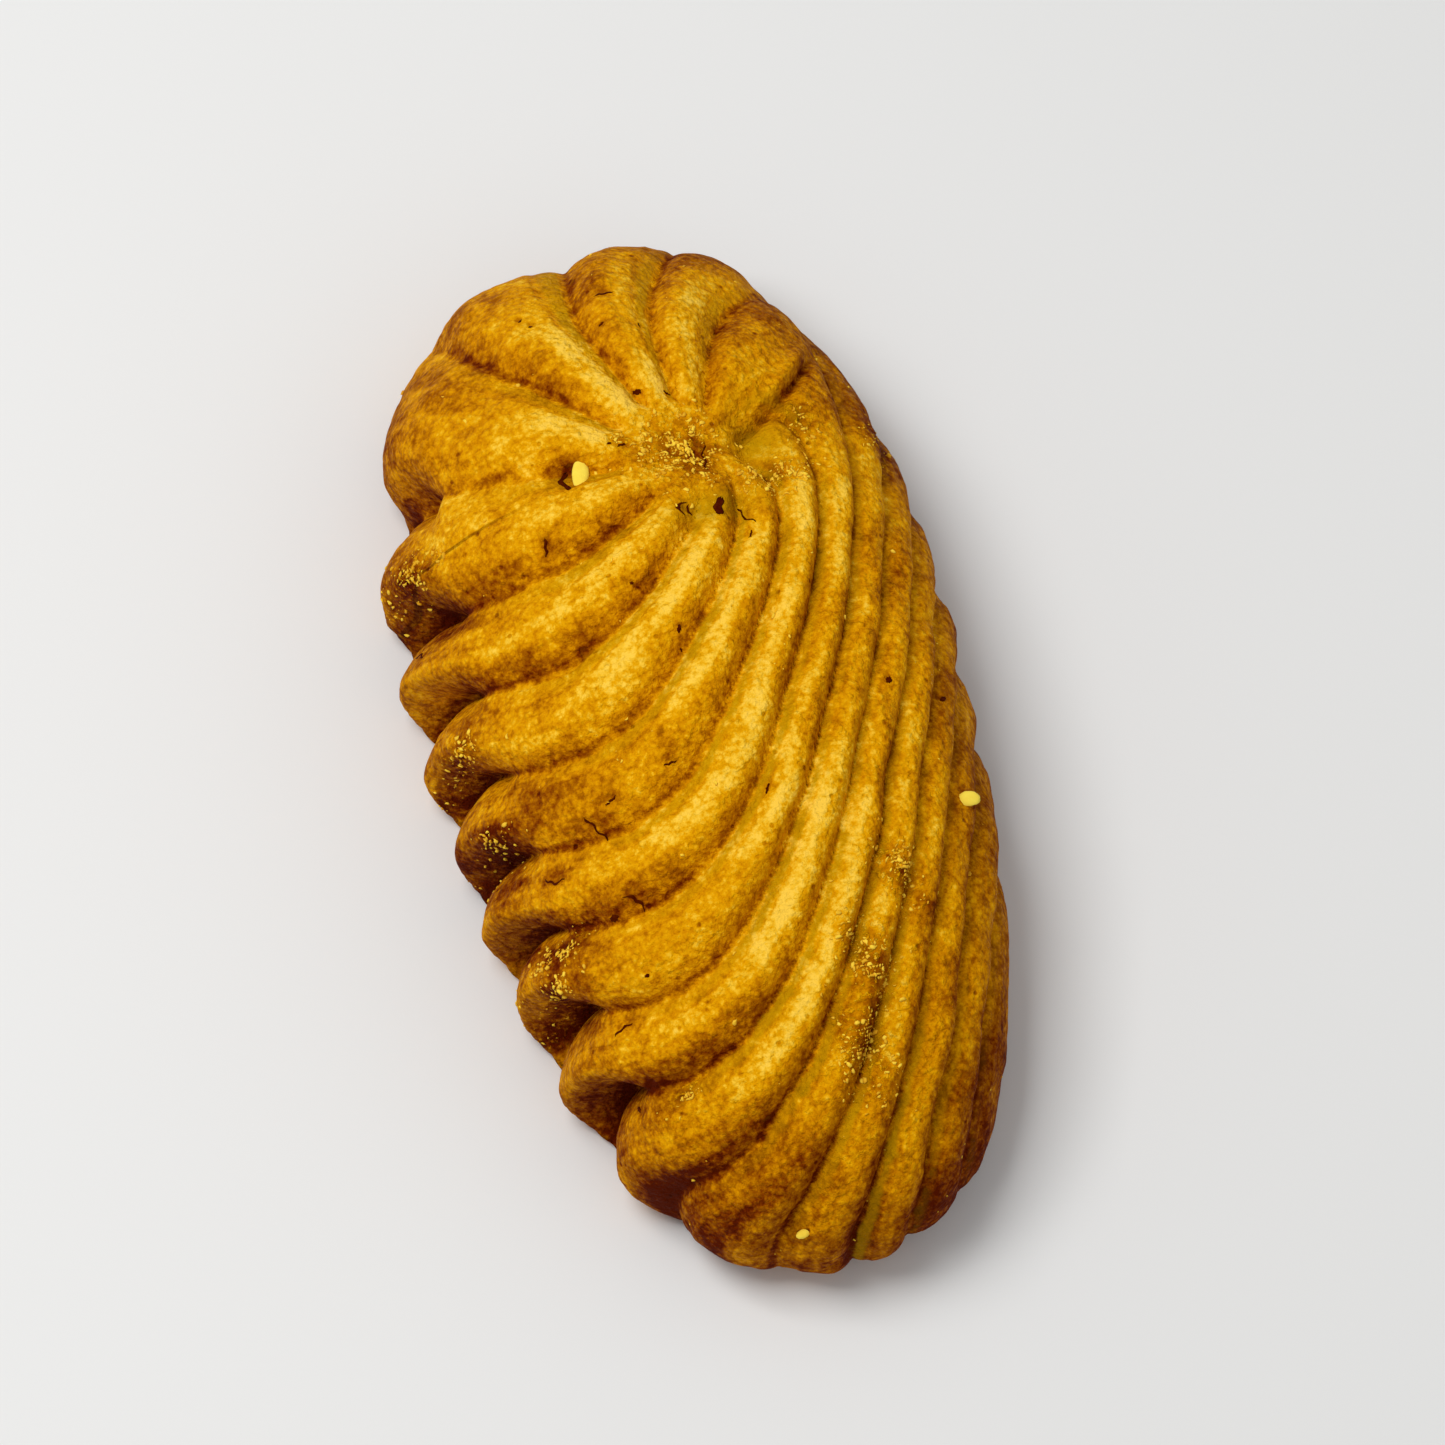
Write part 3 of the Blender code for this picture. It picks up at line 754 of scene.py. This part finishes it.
def shader_node(tree, kind, inputs=None, **settings):
    """Add a shader node. An input that is itself a socket is linked, and any other is set."""
    node = tree.nodes.new(kind)
    for setting, value in settings.items():
        setattr(node, setting, value)
    for socket, value in (inputs or {}).items():
        if isinstance(value, bpy.types.NodeSocket):
            tree.links.new(value, node.inputs[socket])
        else:
            node.inputs[socket].default_value = value
    return node


def maths(tree, operation, first, second=0.0, third=0.0):
    """The result of one sum of two or three numbers or sockets."""
    node = shader_node(tree, "ShaderNodeMath", {0: first, 1: second, 2: third}, operation=operation)
    return node.outputs["Value"]


def measure_of(tree, name):
    """A measure kept at the mesh's points."""
    return shader_node(tree, "ShaderNodeAttribute", attribute_name=name).outputs["Fac"]


def noise_of(tree, place, size, detail=3.0, roughness=0.55):
    """Noise about 0.5 whose features have that size."""
    inputs = {"Vector": place, "Scale": 1.0 / size, "Detail": detail, "Roughness": roughness}
    return shader_node(tree, "ShaderNodeTexNoise", inputs).outputs["Fac"]


def fade(tree, value, low, high, out_low=0.0, out_high=1.0):
    """Map a socket from low..high to out_low..out_high with level ends."""
    inputs = {"Value": value, "From Min": low, "From Max": high, "To Min": out_low, "To Max": out_high}
    node = shader_node(tree, "ShaderNodeMapRange", inputs, interpolation_type="SMOOTHSTEP")
    return node.outputs["Result"]


def speckles_of(tree, place, size, share, radius):
    """Small dots: cells of that size, a share of which have a dot of that radius, in cells."""
    cells = shader_node(tree, "ShaderNodeTexVoronoi", {"Vector": place, "Scale": 1.0 / size})
    draw = shader_node(tree, "ShaderNodeSeparateColor", {"Color": cells.outputs["Color"]}).outputs["Red"]
    dot = fade(tree, cells.outputs["Distance"], radius, DOT_CORE * radius)
    return maths(tree, "MULTIPLY", dot, maths(tree, "LESS_THAN", draw, share))


def new_material(name, roughness, specular, tint=(1.0, 1.0, 1.0)):
    """A material with its node tree and shader."""
    material = bpy.data.materials.new(name)
    material.use_nodes = True
    tree = material.node_tree
    shader = tree.nodes["Principled BSDF"]
    shader.inputs["Roughness"].default_value = roughness
    shader.inputs["Specular IOR Level"].default_value = specular
    shader.inputs["Specular Tint"].default_value = opaque(tint)
    return material, tree, shader


def opaque(colour):
    """A colour with its fourth number."""
    return (*colour, 1.0)


def product(tree, first, second):
    """Two numbers or sockets multiplied."""
    return maths(tree, "MULTIPLY", first, second)


def weighted_sum(tree, base, terms, weights):
    """A base with each named term added, times its weight."""
    total = base
    for name, weight in weights.items():
        total = maths(tree, "MULTIPLY_ADD", terms[name], weight, total)
    return total


def about_middle(tree, noise):
    """Noise brought from about 0.5 to about 0."""
    return maths(tree, "SUBTRACT", noise, 0.5)


def ridge_noise(tree, features):
    """Noise about 0 that runs along the ridges: so many features to a ridge, and so many from end to end."""
    inputs = {"X": product(tree, measure_of(tree, "phase"), features[0]),
              "Y": product(tree, measure_of(tree, "along"), features[1])}
    place = shader_node(tree, "ShaderNodeCombineXYZ", inputs).outputs["Vector"]
    return about_middle(tree, noise_of(tree, place, 1.0, roughness=0.60))


def crust_terms(tree, place):
    """What the crust is summed from: the measures at the points, noise about 0, and products of these.

    A band with noise added, then faded, gets a ragged edge. Floury bands, which also paint a highlight on the
    crests, are missing on the tips, on the right side and where brown smears cross them.
    """
    terms = {name: measure_of(tree, name) for name in CRUST_MEASURES}
    for name, (size, detail, roughness) in CRUST_NOISES.items():
        terms[name] = about_middle(tree, noise_of(tree, place, size, detail, roughness))
    lobes = shader_node(tree, "ShaderNodeTexVoronoi", {"Vector": place, "Scale": 1.0 / LOBE_SIZE})
    terms["between"] = about_middle(tree, lobes.outputs["Distance"])
    terms["freckles"] = speckles_of(tree, place, FRECKLE_SIZE, FRECKLED_SHARE, FRECKLE_RADIUS)
    terms["smears"] = ridge_noise(tree, SMEARS)

    tips, left = terms["tips"], terms["left"]
    terms["tip_ends"] = product(tree, tips, tips)
    terms["tip_streaks"] = product(tree, ridge_noise(tree, STREAKS), tips)
    terms["left_smears"] = product(tree, terms["smears"], left)
    terms["left_creases"] = product(tree, terms["crease"], left)
    off_tips = maths(tree, "MULTIPLY_ADD", tips, TIPS_SPARE_WALL, 1.0)
    terms["low_wall"] = product(tree, terms["wall"], off_tips)
    terms["granules"] = fade(tree, terms["grain"], *GRANULE_FADE)
    terms["flecks"] = product(tree, terms["crumbly"], fade(tree, terms["grain"], *FLECK_FADE))

    ragged = weighted_sum(tree, 0.0, terms, RAGGED_WEIGHTS)
    terms["ragged_creases"] = fade(tree, maths(tree, "ADD", terms["crease"], ragged), *CREASE_FADE)
    terms["ragged_valleys"] = fade(tree, maths(tree, "ADD", terms["valley"], ragged), *VALLEY_FADE)
    broken = maths(tree, "MULTIPLY_ADD", terms["smears"], SMEARS_BREAK_BANDS, ragged)
    floury_and_lit = fade(tree, maths(tree, "ADD", terms["floury_and_lit"], broken), *FLOURY_AND_LIT_FADE)
    # The tips are browner, and the right side is darker from browning and painted shade; both keep less of the
    # pale crest bands and the olive valleys.
    browner_and_shaded_side = maths(tree, "MAXIMUM", tips, product(tree, terms["right"], RIGHT_BROWNER_AND_SHADED))
    terms["paler_side"] = maths(tree, "SUBTRACT", 1.0, browner_and_shaded_side)
    terms["floury_and_lit_bands"] = product(tree, floury_and_lit, terms["paler_side"])
    return terms


def unbrowned_and_shaded_share(tree, terms):
    """How far a spot takes the olive colour of unbrowned dough and painted shade: in the hollows, and in the
    valleys, by side and by patch.
    """
    off_left = maths(tree, "MULTIPLY_ADD", terms["left"], LEFT_BROWNER, 1.0)
    by_side = product(tree, terms["paler_side"], off_left)
    by_patch = fade(tree, terms["patches"], *PATCH_FADE)
    valleys = product(tree, product(tree, terms["ragged_valleys"], by_side), by_patch)
    return maths(tree, "MAXIMUM", valleys, product(tree, terms["unbrowned_and_shaded"], HOLLOW_SHARE))


def crust_material(crust):
    """Baked crust, with painted light and shade on its ridges. A weighted sum says how far each spot is baked,
    with the painted highlights and shade added, and a ramp turns it into colours from floury grains to
    scorched edges. Another weighted sum of the same terms gives the fine relief."""
    material, tree, shader = new_material("baked_crust_finish", crust.roughness, crust.specular, crust.golden)
    place = shader_node(tree, "ShaderNodeTexCoord").outputs["Object"]
    terms = crust_terms(tree, place)
    bake_and_painted_light = weighted_sum(tree, BASE_BAKE, terms, BAKE_AND_PAINTED_LIGHT_WEIGHTS)
    ramp = shader_node(tree, "ShaderNodeValToRGB", {"Fac": bake_and_painted_light})
    colours = (crust.floury_and_lit, crust.pale, crust.golden, crust.toasted, crust.browned, crust.dark,
               crust.scorched)
    elements = ramp.color_ramp.elements
    while len(elements) < len(colours):
        elements.new(0.5)
    for element, position, colour in zip(elements, RAMP_STOPS, colours):
        element.position = position
        element.color = opaque(colour)
    # Over the ramp goes the olive colour that is partly unbrowned dough and partly painted shade.
    inputs = {"Factor": unbrowned_and_shaded_share(tree, terms), "A": ramp.outputs["Color"], "B": opaque(crust.shaded)}
    colour = shader_node(tree, "ShaderNodeMix", inputs, data_type="RGBA")
    tree.links.new(colour.outputs["Result"], shader.inputs["Base Color"])

    height = weighted_sum(tree, 0.0, terms, BUMP_WEIGHTS)
    bump = shader_node(tree, "ShaderNodeBump", {"Height": height, "Strength": 1.0, "Distance": BUMP_DISTANCE})
    tree.links.new(bump.outputs["Normal"], shader.inputs["Normal"])
    dullest, shiniest = crust.roughness + DULL_RANGE[0], crust.roughness + DULL_RANGE[1]
    tree.links.new(fade(tree, terms["clots"], *DULL_FADE, dullest, shiniest), shader.inputs["Roughness"])
    return material


def scrap_material(name, light, deep, size, roughness, bump_height):
    """Small scraps: two colours mixed by noise and by each scrap's own shade, with a rough surface."""
    material, tree, shader = new_material(name, roughness, SCRAP_SPECULAR, light)
    place = shader_node(tree, "ShaderNodeTexCoord").outputs["Object"]
    noise = noise_of(tree, place, size)
    share = maths(tree, "MULTIPLY_ADD", about_middle(tree, noise), SCRAP_MOTTLING, measure_of(tree, "shade"))
    inputs = {"Factor": share, "A": opaque(light), "B": opaque(deep)}
    mixed = shader_node(tree, "ShaderNodeMix", inputs, data_type="RGBA")
    tree.links.new(mixed.outputs["Result"], shader.inputs["Base Color"])
    bump = shader_node(tree, "ShaderNodeBump", {"Height": noise, "Distance": bump_height})
    tree.links.new(bump.outputs["Normal"], shader.inputs["Normal"])
    return material


def small_sphere(rings, segments):
    """Points of a unit sphere on a grid closed by two poles, and its faces."""
    polar = ((np.arange(rings) + 1.0) / (rings + 1.0) * math.pi)[:, None]
    turn = (np.arange(segments) / segments * 2.0 * math.pi)[None, :]
    grid = np.stack((np.sin(polar) * np.cos(turn), np.sin(polar) * np.sin(turn),
                     np.cos(polar) + 0.0 * turn), axis=-1)
    points = np.concatenate((grid.reshape(-1, 3), ((0.0, 0.0, 1.0), (0.0, 0.0, -1.0))))
    return points, closed_faces(rings, segments)


def lumpy_copies(sphere, count, lumpiness, draw):
    """Copies of a sphere, each point drawn nearer or farther by up to a share."""
    return sphere[None] * (1.0 + draw.uniform(-lumpiness, lumpiness, (count, len(sphere), 1)))


def add_scraps(name, placed, parts, shades, material):
    """Make one piece from copies of a shape, with the shape's faces repeated and a shade for each copy."""
    count, points_each = placed.shape[:2]
    shifts = (np.arange(count) * points_each)[:, None, None]
    faces = [face for part in parts for face in (part[None] + shifts).reshape(-1, part.shape[1]).tolist()]
    shade = np.repeat(shades, points_each)
    add_piece(name, placed.reshape(-1, 3), faces, material, {"shade": shade})


def standing_frames(normals, turns):
    """For each unit normal, two tangents turned about it by that angle, and the normal, as columns."""
    side = np.cross(normals, np.array((0.0, 1.0, 0.0)))
    side /= np.maximum(np.linalg.norm(side, axis=-1, keepdims=True), TINY)
    front = np.cross(normals, side)
    cosine, sine = np.cos(turns)[:, None], np.sin(turns)[:, None]
    return np.stack((cosine * side + sine * front, cosine * front - sine * side, normals), axis=-1)


def stood_up(local, normals, turns, middles):
    """Turn each shape about its normal, stand it along that normal and move it to its middle."""
    return np.einsum("nij,npj->npi", standing_frames(normals, turns), local) + middles[:, None, :]


def nearest_upper(points, places):
    """The index of the upper surface's point that is nearest to each place over the underside."""
    upper = np.nonzero(points[:, 2] > UPPER_FROM * points[:, 2].max())[0]
    away = np.linalg.norm(points[upper][None, :, :2] - np.asarray(places)[:, None, :], axis=-1)
    return upper[away.argmin(axis=1)]


def laid_on(surface, normals, shapes, heights, half_lengths):
    """Lay flat shapes on the crust: each point moves along the normal of the crust's nearest point, until it
    stands at its own height over the plane through that point."""
    laid = np.empty_like(shapes)
    for index, (shape, height, half_length) in enumerate(zip(shapes, heights, half_lengths)):
        from_middle = np.linalg.norm(surface - shape.mean(axis=0), axis=-1)
        near = np.nonzero(from_middle < 2.0 * half_length + SEARCH_MARGIN)[0]
        away = np.linalg.norm(shape[:, None, :] - surface[near][None, :, :], axis=-1)
        nearest = near[away.argmin(axis=1)]
        over = np.sum((shape - surface[nearest]) * normals[nearest], axis=-1)
        laid[index] = shape + (height - over)[:, None] * normals[nearest]
    return laid


def crust_points(context):
    """The dough's points and normals, in rows."""
    grid, normals, measures = dough_surface(context)
    return grid.reshape(-1, 3), normals.reshape(-1, 3)


def crumb_places(points, clump_size, draw):
    """Draw the points that crumbs lie on: in each group near its place, mostly in clumps of smooth noise."""
    clumps = smooth_step(lumps(points, clump_size, CRUMB_SEED), *CLUMP_FADE) + LOOSE_SHARE
    reachable = (points[:, 2] > LOWEST_CRUMB) * clumps
    chosen = []
    for place, spread, count in CRUMB_GROUPS:
        weight = bell(points, place, spread) * reachable
        chosen.append(draw.choice(len(points), size=count, p=weight / weight.sum()))
    return np.concatenate(chosen)


class TARALLO_OT_dough(bpy.types.Operator):
    """Carve the ridged dough and give it its baked crust"""

    bl_idname = "tarallo.dough"
    bl_label = "Dough"

    def execute(self, context):
        grid, normals, measures = dough_surface(context)
        quads, start, end = closed_faces(RINGS, SEGMENTS)
        faces = quads.tolist() + start.tolist() + end.tolist()
        closed = {name: closed_points(values[..., None]) for name, values in measures.items()}
        material = crust_material(context.scene.tarallo_crust)
        dough = add_piece("dough", closed_points(grid), faces, material, closed)
        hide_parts(NODE)
        return {"FINISHED"}


class TARALLO_OT_crumbs(bpy.types.Operator):
    """Scatter golden crumbs in their groups over the crust"""

    bl_idname = "tarallo.crumbs"
    bl_label = "Crumbs"

    smallest: length_property("Smallest", "Half the length of the smallest crumbs", 0.00007)
    largest: length_property("Largest", "Half the length of the largest crumbs", 0.00028)
    clump_size: length_property("Clump size", "How wide the clumps of crumbs are", 0.0009)

    def execute(self, context):
        points, normals = crust_points(context)
        draw = np.random.default_rng(CRUMB_SEED)
        chosen = crumb_places(points, self.clump_size, draw)
        count = len(chosen)
        longer = draw.random(count) ** CRUMB_SMALLNESS
        half_length = self.smallest + (self.largest - self.smallest) * longer
        half_width = half_length * draw.uniform(*CRUMB_WIDTHS, count)
        half_thickness = half_length * draw.uniform(*CRUMB_THICKNESSES, count)
        sphere, parts = small_sphere(3, 6)
        lumpy = lumpy_copies(sphere, count, CRUMB_LUMPS, draw)
        local = lumpy * np.stack((half_length, half_width, half_thickness), axis=-1)[:, None, :]
        bend = half_length[:, None] * draw.uniform(*CRUMB_BENDS, (count, 1))
        local[..., 1] += bend * (lumpy[..., 0] ** 2 - UNBENT_AT)
        turns = draw.uniform(0.0, 2.0 * math.pi, count)
        middles = points[chosen] + normals[chosen] * half_thickness[:, None] * CRUMB_STAND
        placed = stood_up(local, normals[chosen], turns, middles)

        crust = context.scene.tarallo_crust
        material = scrap_material(
            "crumb_gold", crust.crumb, crust.toasted, size=0.0003, roughness=0.55, bump_height=0.00004)
        add_scraps("crumbs", placed, parts, draw.uniform(*CRUMB_SHADES, count), material)
        return {"FINISHED"}


class TARALLO_OT_specks(bpy.types.Operator):
    """Lay the burnt specks, and dark strips that paint the shade in short cracks, into the crust"""

    bl_idname = "tarallo.specks"
    bl_label = "Burnt specks"

    thickness: length_property("Thickness", "How thick a speck is", 0.00012)

    def execute(self, context):
        points, normals = crust_points(context)
        draw = np.random.default_rng(SPECK_SEED)
        places, lengths, widths, turns, curls = zip(*BURNT_SPECKS_AND_CRACK_SHADE)
        near = nearest_upper(points, places)
        count = len(near)
        half_length, half_width = 0.5 * np.array(lengths), 0.5 * np.array(widths)
        half_thickness = np.full(count, 0.5 * self.thickness)
        slimness = (1.0 - half_width / half_length)[:, None]
        wave_starts = draw.uniform(0.0, 2.0 * math.pi, (count, 1))
        sphere, parts = small_sphere(11, 8)
        lumpy = lumpy_copies(sphere[:, (2, 0, 1)], count, SPECK_LUMPS, draw)
        local = lumpy * np.stack((half_length, half_width, half_thickness), axis=-1)[:, None, :]
        along = lumpy[..., 0]
        wave = SPECK_WAVE * slimness * np.sin(SPECK_WAVE_RATE * along + wave_starts)
        curl = np.array(curls)[:, None] * (along ** 2 - 0.5)
        local[..., 1] += half_length[:, None] * (curl + wave)
        placed = stood_up(local, normals[near], np.radians(turns), points[near])
        placed = laid_on(points, normals, placed, local[..., 2], half_length)

        crust = context.scene.tarallo_crust
        # Burnt sugar on the specks, and painted shade on the cracks.
        material = scrap_material(
            "burnt_sugar_and_crack_shade", crust.burnt_and_crack_shade, crust.dark, size=0.0003, roughness=0.7, bump_height=0.00003)
        add_scraps("burnt_specks_and_crack_shade", placed, parts, np.full(count, SPECK_SHADE), material)
        return {"FINISHED"}


class TARALLO_OT_flakes(bpy.types.Operator):
    """Set the pale flakes on the crust"""

    bl_idname = "tarallo.flakes"
    bl_label = "Pale flakes"

    levelled: share_property("Levelled", "0 lays flakes along the crust, 1 keeps them level", 0.85)

    def execute(self, context):
        points, normals = crust_points(context)
        draw = np.random.default_rng(FLAKE_SEED)
        places, lengths, widths, thicknesses, turns = zip(*PALE_FLAKES)
        near = nearest_upper(points, places)
        count = len(near)
        halves = 0.5 * np.stack((lengths, widths, thicknesses), axis=-1)
        sphere, parts = small_sphere(11, 20)
        local = lumpy_copies(sphere, count, FLAKE_LUMPS, draw) * halves[:, None, :]
        facing = (1.0 - self.levelled) * normals[near] + self.levelled * np.array((0.0, 0.0, 1.0))
        facing /= np.linalg.norm(facing, axis=-1, keepdims=True)
        middles = points[near] + normals[near] * halves[:, 2:] * FLAKE_STAND
        placed = stood_up(local, facing, np.radians(turns), middles)

        crust = context.scene.tarallo_crust
        material = scrap_material(
            "pale_flake", crust.flake, crust.golden, size=0.0008, roughness=0.45, bump_height=0.00003)
        add_scraps("pale_flakes", placed, parts, draw.uniform(*FLAKE_SHADES, count), material)
        return {"FINISHED"}


def view_matrix(stage):
    """The picture's right, its up, and the way back to the camera, as a matrix's columns."""
    level = math.cos(stage.elevation)
    back = Vector((-level * math.sin(stage.azimuth), -level * math.cos(stage.azimuth),
                   math.sin(stage.elevation)))
    right = Vector((0.0, 0.0, 1.0)).cross(back).normalized()
    up = back.cross(right)
    turn = Matrix.Rotation(stage.roll, 3, back)
    return Matrix((turn @ right, turn @ up, back)).transposed()


def add_light(name, view, power):
    """A square area light at its place in the view, turned towards the biscuit's middle."""
    light = bpy.data.lights.new(name, "AREA")
    light.shape = "SQUARE"
    light.size = LIGHT_SIZES[name]
    light.energy = power
    lamp = bpy.data.objects.new(name, light)
    direction, distance = LIGHT_PLACES[name]
    to_light = (view @ Vector(direction)).normalized()
    lamp.location = CAD_MIDDLE + to_light * distance
    lamp.rotation_euler = to_light.to_track_quat("Z", "Y").to_euler()
    bpy.context.scene.collection.objects.link(lamp)


class TARALLO_OT_stage(bpy.types.Operator):
    """Set up the pale floor, the soft lights and the camera"""

    bl_idname = "tarallo.stage"
    bl_label = "Stage"

    def execute(self, context):
        scene = context.scene
        stage = scene.tarallo_stage
        view = view_matrix(stage)

        half = 0.5 * stage.floor_size
        mesh = bpy.data.meshes.new("floor")
        corners = [(-half, -half, 0.0), (half, -half, 0.0), (half, half, 0.0), (-half, half, 0.0)]
        mesh.from_pydata(corners, [], [(0, 1, 2, 3)])
        material, tree, shader = new_material("plain_floor", FLOOR_ROUGHNESS, FLOOR_SPECULAR)
        shader.inputs["Base Color"].default_value = opaque(FLOOR_COLOUR)
        mesh.materials.append(material)
        floor = bpy.data.objects.new("floor", mesh)
        scene.collection.objects.link(floor)

        add_light("key", view, stage.key_power)
        add_light("fill", view, stage.fill_power)

        world = bpy.data.worlds.new("surround")
        world.use_nodes = True
        background = world.node_tree.nodes["Background"]
        background.inputs["Color"].default_value = opaque(SURROUND_COLOUR)
        background.inputs["Strength"].default_value = stage.surround
        scene.world = world
        scene.view_settings.view_transform = "Standard"

        lens = bpy.data.cameras.new("camera")
        lens.lens = stage.lens
        lens.clip_start = CLIP_START
        camera = bpy.data.objects.new("camera", lens)
        placed = view.to_4x4()
        placed.translation = CAD_MIDDLE + view.col[2] * stage.distance
        camera.matrix_world = placed
        scene.collection.objects.link(camera)
        scene.camera = camera
        return {"FINISHED"}


class TARALLO_PT_pieces(bpy.types.Panel):
    """Lists what the tarallo is dressed with"""

    bl_idname = "TARALLO_PT_pieces"
    bl_label = "Sweet Tarallo"
    bl_space_type = "VIEW_3D"
    bl_region_type = "UI"
    bl_category = "Tarallo"

    def draw(self, context):
        for operator in OPERATORS:
            self.layout.operator(operator.bl_idname)


GROUPS = {
    "tarallo_loaf": TaralloLoaf,
    "tarallo_ridges": TaralloRidges,
    "tarallo_relief": TaralloRelief,
    "tarallo_crust": TaralloCrust,
    "tarallo_stage": TaralloStage,
}
OPERATORS = (
    TARALLO_OT_dough,
    TARALLO_OT_crumbs,
    TARALLO_OT_specks,
    TARALLO_OT_flakes,
    TARALLO_OT_stage,
)


def register():
    for name, group in GROUPS.items():
        bpy.utils.register_class(group)
        setattr(bpy.types.Scene, name, PointerProperty(type=group))
    for operator in OPERATORS:
        bpy.utils.register_class(operator)
    bpy.utils.register_class(TARALLO_PT_pieces)


def unregister():
    bpy.utils.unregister_class(TARALLO_PT_pieces)
    for operator in reversed(OPERATORS):
        bpy.utils.unregister_class(operator)
    for name, group in GROUPS.items():
        delattr(bpy.types.Scene, name)
        bpy.utils.unregister_class(group)


def main():
    register()
    bpy.ops.tarallo.dough()
    bpy.ops.tarallo.crumbs()
    bpy.ops.tarallo.specks()
    bpy.ops.tarallo.flakes()
    bpy.ops.tarallo.stage()


if __name__ == "__main__":
    main()
